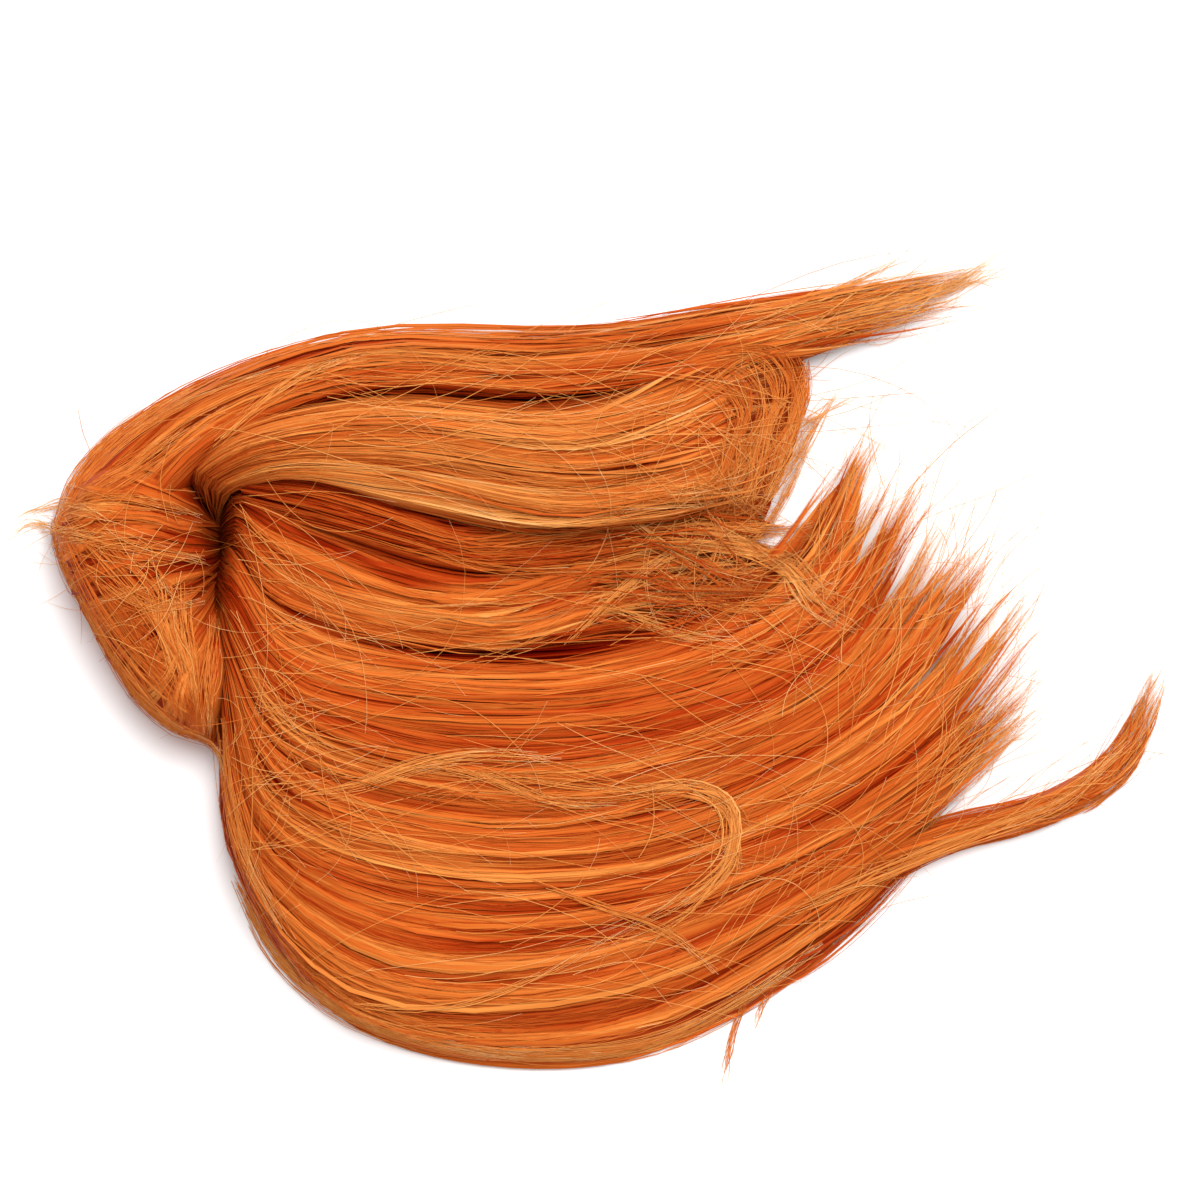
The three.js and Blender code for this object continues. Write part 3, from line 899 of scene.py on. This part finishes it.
def hair_material(name, ramp):
    """Silky fibre: fine streaks along each wisp in its own tint, painted tip light, painted root shade."""
    material, tree, shader = new_material(name)
    along, across, tint = (attribute(tree, key) for key in ("along", "streak", "tint"))
    stretched = given(tree, "Math", "Value", {0: along, 1: STREAK_STRETCH}, "MULTIPLY")
    place = given(tree, "CombineXYZ", "Vector", {"X": across, "Y": stretched})
    streak = given(tree, "TexNoise", "Fac", {"Vector": place, **STREAK_NOISE})

    shift = given(tree, "MapRange", "Result", {"Value": streak, **STREAK_SHIFT})
    # Painted light at the tips
    tip_light = given(tree, "MapRange", "Result", {"Value": along, **PAINTED_TIP_LIGHT})
    shift = given(tree, "Math", "Value", {0: shift, 1: tip_light}, "ADD")
    tone = given(tree, "Math", "Value", {0: tint, 1: shift}, "ADD")
    # Painted shade on the roots in the band's opening
    shade = given(tree, "MapRange", "Result", {"Value": along, **PAINTED_ROOT_SHADE})
    colour = {0: ramp_colour(tree, tone, ramp), "Scale": shade}
    put(tree, shader, {
        "Base Color": given(tree, "VectorMath", "Vector", colour, "SCALE"),
        "Roughness": given(tree, "MapRange", "Result", {"Value": streak, **HAIR_ROUGHNESS}),
        "Normal": given(tree, "Bump", "Normal", {"Height": streak, **HAIR_BUMP}),
        "Specular IOR Level": HAIR_SPECULAR,
        "Specular Tint": HAIR_SPECULAR_TINT,
    })
    return material


def elastic_material():
    """Braided cover: fine dark threads across the band."""
    material, tree, shader = new_material("covered_elastic")
    place = given(tree, "TexCoord", "Object", {})
    threads = given(tree, "TexWave", "Fac", {"Vector": place, **THREADS})
    put(tree, shader, {
        "Base Color": ramp_colour(tree, threads, THREAD_RAMP),
        "Roughness": ELASTIC_ROUGHNESS,
        "Normal": given(tree, "Bump", "Normal", {"Height": threads, **THREAD_BUMP}),
    })
    return material


# Locks laid over the rest: strands along a path, with their width and tone
LAID_POINTS = 12
LAID_FRAY = (0.5, 0.45)
LAID_FRAY_POWER = 1.3
LAID_WANDER = (0.4, 1.0)
LAID_STACK = 0.5
LAID_TONE = 0.06


def laid(path, width, strands, tone, lift=0.6):
    return Row(path=path, width=width, strands=strands, tone=tone, lift=lift)


LAID = [
    # Over the lower fan
    laid([(16, -44), (27, -42), (40, -37.5), (52, -36), (68, -37)], 3.0, 26, 0.72),
    laid([(38, -37), (52, -40), (66, -45), (80, -46)], 2.4, 24, 0.7),
    laid([(22, -85), (43, -86), (62, -80), (80, -70)], 1.6, 10, 0.72),
    laid([(60, -60), (76, -66), (90, -72), (99, -80)], 2.2, 14, 0.62),
    # Along the fan's left and lower edge
    laid([(0, -28), (2, -44), (6, -58), (14, -73)], 4.0, 40, 0.62, 0.2),
    laid([(2, -60), (11, -76.5), (25.5, -87.8), (50, -94.8), (76, -96)], 4.0, 80, 0.7, 0.2),
    laid([(40, -92), (62, -96), (86, -93.5), (104, -84.5), (120, -73.5)], 4.0, 70, 0.7, 0.2),
    # Across the tangle right of the valley
    laid([(68, -14), (76, -6.5), (83, 0), (91, 5), (99, 7)], 2.0, 18, 0.74),
    laid([(75, -5.5), (83, -9), (93, -12), (104, -13)], 2.2, 18, 0.76),
    laid([(77, 15), (88, 6), (95, 2), (104, -3)], 1.6, 12, 0.78),
    laid([(83, 3), (95, -5), (107, -7), (116, -5)], 2.6, 16, 0.6),
    laid([(93, 16), (99, 10), (98, 3), (94, -4)], 2.0, 14, 0.66),
    laid([(92, 10), (102, 9.5), (111, 9), (118, 10.5)], 3.4, 30, 0.66, 0.4),
    # Down the wave's right end
    laid([(116.5, 43), (115.5, 36), (112, 25), (107.5, 13)], 2.4, 44, 0.6, 0.4),
    laid([(107, 13), (112.5, 21), (117.5, 29), (123, 38)], 2.8, 30, 0.74, 0.3),
    laid([(109, 24), (114, 29), (120, 33), (127, 36.5)], 2.4, 12, 0.8, 0.3),
    laid([(104, 5), (110, 12), (114, 19), (117.5, 27)], 2.4, 20, 0.72, 0.3),
    # At the crest's tip
    laid([(102, 52), (116, 54.5), (126, 58.5), (135, 63.5)], 1.8, 16, 0.8, 0.2),
    laid([(122, 51.5), (137, 55), (147, 59), (155, 64)], 2.8, 30, 0.78, 0.2),
    # From the wave's root over the dark valley to the crest
    laid([(-2, 25), (9, 35), (18, 41), (30, 45)], 2.2, 20, 0.74),
    # Across the roll from its left tip
    laid([(-33, 9), (-24, 7), (-14, 5), (-3, 3)], 4.5, 26, 0.64, 0.3),
    laid([(-32, 13), (-22, 15), (-12, 14), (-3, 11)], 6.0, 24, 0.6, 0.3),
    laid([(-27, 2), (-19, -3), (-11, -6), (-3, -5)], 6.0, 24, 0.62, 0.3),
    laid([(-1.2, -8), (-1.8, -16), (-2.4, -24), (-2.4, -32)], 4.0, 36, 0.58, 0.3),
    # Along the roll's lower left edge
    laid([(-32, 14), (-33.4, 8), (-31.2, 1), (-27.2, -7), (-22, -16.2)], 1.6, 40, 0.6, 0.2),
    laid([(-28, -5), (-22, -16.2), (-17, -24.2), (-10, -30.4), (-2, -34), (1, -41)], 1.6, 60, 0.6, 0.2),
    # Loose strands around the left tip and along the upper left edge
    laid([(-22, 7), (-33, 9), (-39, 10), (-44, 7)], 3.0, 14, 0.86, 0.3),
    laid([(-20, 10), (-30, 14), (-37, 13), (-42, 11)], 3.0, 14, 0.86, 0.3),
    laid([(-32, 12), (-25, 16.5), (-17, 21), (-8, 27), (2, 33)], 6.0, 40, 0.58, 0.3),
    laid([(-33, 9), (-28.5, 18.5), (-19, 28), (-6, 35.5), (12, 42)], 4.0, 50, 0.58, 0.2),
    laid([(-33, 8), (-31, 17.5), (-23, 27), (-11.5, 34.5), (4, 41.5)], 1.8, 26, 0.62),
    # Along the tail
    laid([(112, -67), (132, -59), (150, -51.5), (167, -45), (181, -33)], 4.0, 44, 0.68, 0.2),
    # Two spikes at the lower edge
    laid([(106, -80), (102.5, -90), (101, -97), (99.6, -103)], 1.4, 18, 0.6, 0.2),
    laid([(111, -79), (108, -86), (106, -92)], 1.0, 10, 0.62, 0.2),
]


def eased(heights):
    """Heights along lines, smoothed but never far below what they lie on."""
    around = np.pad(heights, ((0, 0), (1, 1)), mode="edge")
    return np.maximum((around[:, :-2] + 2 * heights + around[:, 2:]) / 4, heights)


def laid_strands(ground):
    """Lines and tints of all the laid locks."""
    lines, tints = [], []
    for lock in LAID:
        n = lock.strands
        start = LAID_FRAY[0] * rng.random((n, 1)) ** LAID_FRAY_POWER
        end = 1 - LAID_FRAY[1] * rng.random((n, 1)) ** LAID_FRAY_POWER
        w = start + (end - start) * np.linspace(0, 1, LAID_POINTS)[None, :]
        plan = spline(lock.path, w.ravel()).reshape(n, LAID_POINTS, 2)
        q = rng.normal(0, 0.5, (n, 1)) * lock.width / 2
        aside = q * (0.6 + 0.4 * np.sin(np.pi * w)) + waves(rng.random((n, 2)), w, LAID_WANDER)
        plan = plan + sideways(plan) * aside[..., None]
        rise = lock.lift * (0.2 + np.sin(np.pi * w)) + LAID_STACK * rng.random((n, 1))
        z = eased(ground.at(plan)) + rise
        lines.append(raised(plan, z))
        tints.append(lock.tone + rng.normal(0, LAID_TONE, n))
    return np.concatenate(lines), np.concatenate(tints)


# Where flyaway hairs start: a middle, a spread, a heading in degrees with its own
# spread, a length range and how many
def flyaways(at, spread, heading, turn, length, count):
    return Row(at=at, spread=spread, heading=heading, turn=turn, length=length, count=count)


FLYAWAYS = [
    flyaways((-13, 3), (6, 8), 170, 70, (8, 18), 45),
    flyaways((-27, 10), (3, 4), 178, 18, (9, 18), 24),
    flyaways((0, 8), (7, 8), -25, 30, (20, 48), 26),
    flyaways((40, 36), (32, 8), 4, 12, (35, 80), 70),
    flyaways((50, -45), (30, 24), 0, 12, (30, 70), 90),
    flyaways((10, -38), (8, 16), -30, 30, (12, 35), 30),
    flyaways((7, -46), (4, 13), 32, 20, (8, 18), 34),
    flyaways((7, -20), (4, 9), -14, 22, (8, 20), 26),
    flyaways((100, 26), (9, 11), -55, 40, (10, 26), 70),
    flyaways((92, -2), (11, 8), 2, 24, (12, 32), 80),
    flyaways((136, -8), (12, 22), 58, 20, (14, 36), 120),
    flyaways((130, 52), (14, 4), 16, 10, (14, 30), 50),
    flyaways((160, -46), (14, 4), 30, 12, (12, 30), 45),
    flyaways((112, -66), (14, 12), 38, 20, (12, 28), 50),
    flyaways((146, -40), (6, 6), 42, 10, (14, 32), 50),
]
# Flyaway hairs stay inside these corners
FLY_LOW = (-45.0, -108.0)
FLY_HIGH = (200.0, 72.0)
FLY_RADIUS = (0.04, 0.07)
FLY_BEND = 0.9
FLY_WANDER = (0.07, 1.0)
FLY_CLEARANCE = 0.4
FLY_LIFT = 2.4
FLY_TONE = (0.76, 0.08)
FLY_THINNING = 0.6
FLY_ALONG = 0.3
ROOT_HEIGHT = 1.0


def flyaway_strands(ground):
    """Lines and tints of single hairs that leave the flow."""
    lines = []
    w = np.linspace(0, 1, LAID_POINTS)[None, :]
    for group in FLYAWAYS:
        n = group.count
        start = np.array(group.at) + rng.normal(0, 1, (n, 2)) * np.array(group.spread)
        heading = np.radians(group.heading + rng.normal(0, group.turn, n))
        length = rng.uniform(*group.length, n)
        bend = rng.normal(0, FLY_BEND, n)[:, None] * (w - 0.3)
        angle = heading[:, None] + bend + waves(rng.random((n, 2)), w, FLY_WANDER)
        step = length[:, None] / (LAID_POINTS - 1)
        way = np.stack([np.cos(angle) * step, np.sin(angle) * step], axis=2)
        plan = start[:, None] + np.cumsum(way, axis=1) - way[:, :1]
        lift = FLY_LIFT * rng.random((n, 1)) ** 2
        below = ground.at(plan)
        z = eased(below) + FLY_CLEARANCE + lift * np.sin(np.pi * (0.1 + 0.9 * w))
        inside = ((plan > FLY_LOW) & (plan < FLY_HIGH)).all(axis=(1, 2))
        rooted = below[:, 0] > ROOT_HEIGHT
        lines.append(raised(plan, z)[inside & rooted])
    line = np.concatenate(lines)
    return line, np.clip(rng.normal(*FLY_TONE, len(line)), 0, 1)


def loose_part(line, tint, radii, room):
    """Tubes along lines that lie on the hair, thinner to the tip."""
    taper = 1 - FLY_THINNING * smoothstep(np.linspace(0, 1, line.shape[1]), THIN_FROM, 1)
    radius = rng.uniform(*radii, len(line))[:, None] * taper
    line[..., 2] = np.maximum(line[..., 2], radius + FLOOR_CLEARANCE)
    return tube_part(line, radius, tint[:, None], np.linspace(FLY_ALONG, 1, line.shape[1])[None], room)


# The elastic: a ring with straight sides and a ribbed cover
BAND_THICKNESS = 4.5
BAND_WIDTH = 18.0
BAND_STRAIGHT = 20.0
BAND_HEIGHT = 13.0
BAND_SIDES = 20
BAND_STEPS = 160
BAND_RIBS = 80
BAND_RIB_DEPTH = 0.09


def band_object(material):
    turn = 2 * np.pi * (np.arange(BAND_STEPS) + 0.5) / BAND_STEPS
    outward = np.stack([np.cos(turn), np.sin(turn), np.zeros(BAND_STEPS)], axis=1)
    centre = outward * BAND_WIDTH / 2
    centre[:, 1] += np.sign(outward[:, 1]) * BAND_STRAIGHT / 2
    centre[:, 2] = BAND_HEIGHT
    rib = BAND_RIB_DEPTH * np.cos(BAND_RIBS * turn)
    around = 2 * np.pi * np.arange(BAND_SIDES) / BAND_SIDES
    tube = BAND_THICKNESS / 2 - BAND_RIB_DEPTH + rib
    level = np.cos(around)[:, None] * outward[:, None]
    ring = level + np.sin(around)[:, None] * np.array([0, 0, 1.0])
    verts = centre[:, None] + tube[:, None, None] * ring
    ids = np.arange(BAND_STEPS * BAND_SIDES).reshape(BAND_STEPS, BAND_SIDES)
    across = np.roll(ids, -1, axis=1)
    quads = np.stack([ids, np.roll(ids, -1, axis=0), np.roll(across, -1, axis=0), across], axis=-1)
    mesh = bpy.data.meshes.new("band_cover")
    mesh.from_pydata((verts.reshape(-1, 3) * MM).tolist(), [], quads.reshape(-1, 4).tolist())
    mesh.shade_smooth()
    mesh.materials.append(material)
    return placed("band_cover", mesh)


# Floor, light and camera
FLOOR_SIDE = 12.0
FLOOR_DROP = 0.05
SUN_STRENGTH = 3.5
SUN_ANGLE = 30
SUN_TILT = (-18, 10, 0)
WORLD_STRENGTH = 0.62
FLOOR_COLOUR = (0.93, 0.93, 0.93, 1)
FLOOR_ROUGHNESS = 0.9
DIFFUSE_BOUNCES = 3
MOST_BOUNCES = 4


def floor_object():
    side = FLOOR_SIDE / 2
    mesh = bpy.data.meshes.new("floor")
    corners = [(-side, -side), (side, -side), (side, side), (-side, side)]
    mesh.from_pydata([(x, y, -FLOOR_DROP * MM) for x, y in corners], [], [(0, 1, 2, 3)])
    material, tree, shader = new_material("pale_floor")
    put(tree, shader, {"Base Color": FLOOR_COLOUR, "Roughness": FLOOR_ROUGHNESS})
    mesh.materials.append(material)
    return placed("floor", mesh)


def light_and_camera():
    scene = bpy.context.scene
    sun = bpy.data.lights.new("sun", "SUN")
    sun.energy = SUN_STRENGTH
    sun.angle = math.radians(SUN_ANGLE)
    placed("sun", sun).rotation_euler = [math.radians(a) for a in SUN_TILT]
    scene.world = scene.world or bpy.data.worlds.new("studio")
    scene.world.use_nodes = True
    tree = scene.world.node_tree
    put(tree, tree.nodes["Background"], {"Color": (1, 1, 1, 1), "Strength": WORLD_STRENGTH})
    camera = bpy.data.cameras.new("camera")
    camera.sensor_width = SENSOR
    camera.lens = SENSOR * CAMERA_HEIGHT / FRAME_SIDE
    scene.camera = placed("camera", camera)
    scene.camera.location = (FRAME_CENTRE[0] * MM, FRAME_CENTRE[1] * MM, CAMERA_HEIGHT * MM)
    scene.view_settings.view_transform = "Standard"
    scene.cycles.diffuse_bounces = DIFFUSE_BOUNCES
    scene.cycles.max_bounces = MOST_BOUNCES
    scene.cycles.debug_use_spatial_splits = True


light_and_camera()
floor_object()

hair = {
    "hair_copper": hair_material("copper_hair", COPPER_RAMP),
    "hair_gold": hair_material("gold_hair", GOLD_RAMP),
}

# Strands, wisps and the body share each flow's strip of the bake map, split at these places
STRIP_SPLITS = (0.3, 0.65)
LAID_STRIP = 0.3

ground = Ground([table for *_, flows in PIECES for table in flows if not table.lies])
for number, (name, node, slot, flows) in enumerate(PIECES):
    rng = np.random.default_rng(SEED + number)
    parts = []
    for k, table in enumerate(flows):
        layer = Layer(table, ground)
        low, high = k / len(flows), (k + 1) / len(flows)
        first, second = (low + share * (high - low) for share in STRIP_SPLITS)
        parts.append(strand_part(layer, (low, first)))
        parts.append(wisp_part(layer, (first, second)))
        if table.body:
            parts.append(body_part(layer, (second, high)))
    piece = mesh_object(name, parts, hair[slot])
    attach(piece, "root")
    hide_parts(node)

rng = np.random.default_rng(SEED + len(PIECES))
loose_hair = [
    loose_part(*laid_strands(ground), STRAND_RADIUS, (0, LAID_STRIP)),
    loose_part(*flyaway_strands(ground), FLY_RADIUS, (LAID_STRIP, 1)),
]
flyaway = mesh_object("flyaway_strands", loose_hair, hair["hair_gold"])
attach(flyaway, "root")

band = band_object(elastic_material())
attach(band, "root")
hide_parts("elastic_band")
